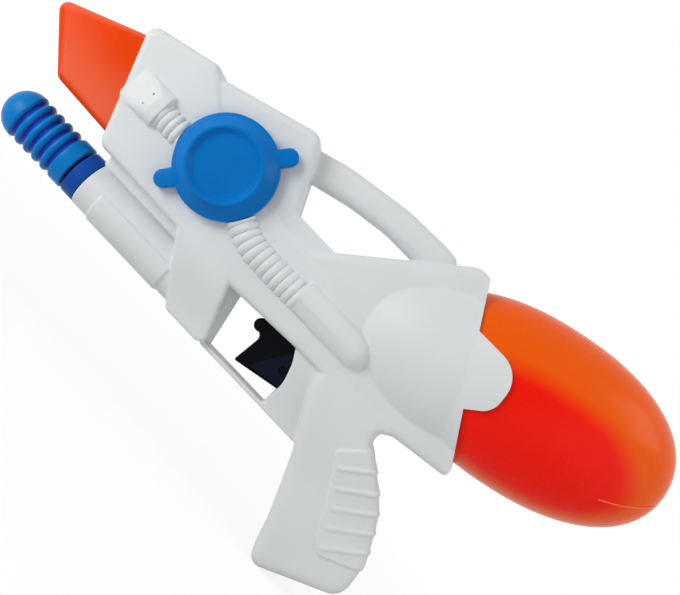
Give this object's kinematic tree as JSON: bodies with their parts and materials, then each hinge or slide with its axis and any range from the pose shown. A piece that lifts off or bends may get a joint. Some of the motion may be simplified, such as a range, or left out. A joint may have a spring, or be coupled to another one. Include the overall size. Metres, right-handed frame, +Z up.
{
  "type": "toy water squirter",
  "caption": "Pump-action toy water squirter with a split moulded body, rear egg-shaped tank, sliding ribbed pump, turning filler cap, sprung trigger and valve.",
  "frame": {"origin": "middle of the bounding box at its bottom, which is the foot of the grip", "axes": "+X from the muzzle to the tank, +Y from the cap's side to the other side, +Z up along the grip"},
  "size_m": [0.4558, 0.0948, 0.2395],
  "materials": {
    "white_plastic": "satin moulded plastic",
    "orange_plastic": "glossy blow-moulded plastic",
    "blue_plastic": "glossy moulded plastic",
    "black_plastic": "glossy moulded plastic",
    "natural_plastic": "uncoloured moulded plastic",
    "soft_hose": "soft smooth hose",
    "black_rubber": "matt sealing rubber",
    "steel": "plain bright steel"
  },
  "bodies": {
    "body": {"left_body_shell": "white_plastic", "right_body_shell": "white_plastic", "muzzle_shroud": "orange_plastic", "water_tank": "orange_plastic", "pump_collar": "blue_plastic", "nozzle_jet": "natural_plastic", "tank_bung": "natural_plastic", "filler_cup": "natural_plastic", "pump_cylinder": "natural_plastic", "pump_valve": "natural_plastic", "valve_body": "natural_plastic", "pickup_tube": "soft_hose", "filler_tube": "soft_hose", "air_hose": "soft_hose", "feed_hose": "soft_hose", "jet_hose": "soft_hose", "bung_seal": "black_rubber", "check_disc": "black_rubber", "trigger_pin": "steel", "valve_spring": "steel", "shell_screw_1": "steel", "shell_screw_2": "steel", "shell_screw_3": "steel", "shell_screw_4": "steel", "shell_screw_5": "steel", "shell_screw_6": "steel", "shell_screw_7": "steel", "shell_screw_8": "steel"},
    "pump": {"pump_grip": "blue_plastic", "pump_rod": "natural_plastic", "pump_piston": "natural_plastic", "piston_ring": "black_rubber"},
    "trigger": {"trigger": "black_plastic"},
    "plunger": {"valve_plunger": "natural_plastic", "plunger_ring": "black_rubber"},
    "seal": {"cap_seal": "black_rubber"},
    "cap": {"filler_cap": "blue_plastic"}
  },
  "joints": [
    {"name": "pump_slide", "type": "slide", "parent": "body", "child": "pump", "axis": [-1, 0, 0], "range_m": [0, 0.06]},
    {"name": "trigger_pull", "type": "hinge", "parent": "body", "child": "trigger", "pos_m": [0.006, 0, 0.112], "axis": [0, -1, 0], "range_deg": [0, 12], "stiffness_Nm_per_rad": 0.4, "springref_deg": -11.46},
    {"name": "plunger_push", "type": "slide", "parent": "body", "child": "plunger", "axis": [-1, 0, 0], "range_m": [0, 0.002], "deforming": ["valve_spring"]},
    {"name": "cap_lift", "type": "slide", "parent": "body", "child": "seal", "axis": [0, -1, 0], "range_m": [0, 0.0032]},
    {"name": "cap_turn", "type": "hinge", "parent": "seal", "child": "cap", "pos_m": [-0.0902, 0, 0.1482], "axis": [0, -1, 0], "range_deg": [0, 60]}
  ],
  "couplings": [
    {"joint": "plunger_push", "follows": "trigger_pull", "m_per_rad": 0.009},
    {"joint": "cap_lift", "follows": "cap_turn", "m_per_rad": 0.002865}
  ]
}
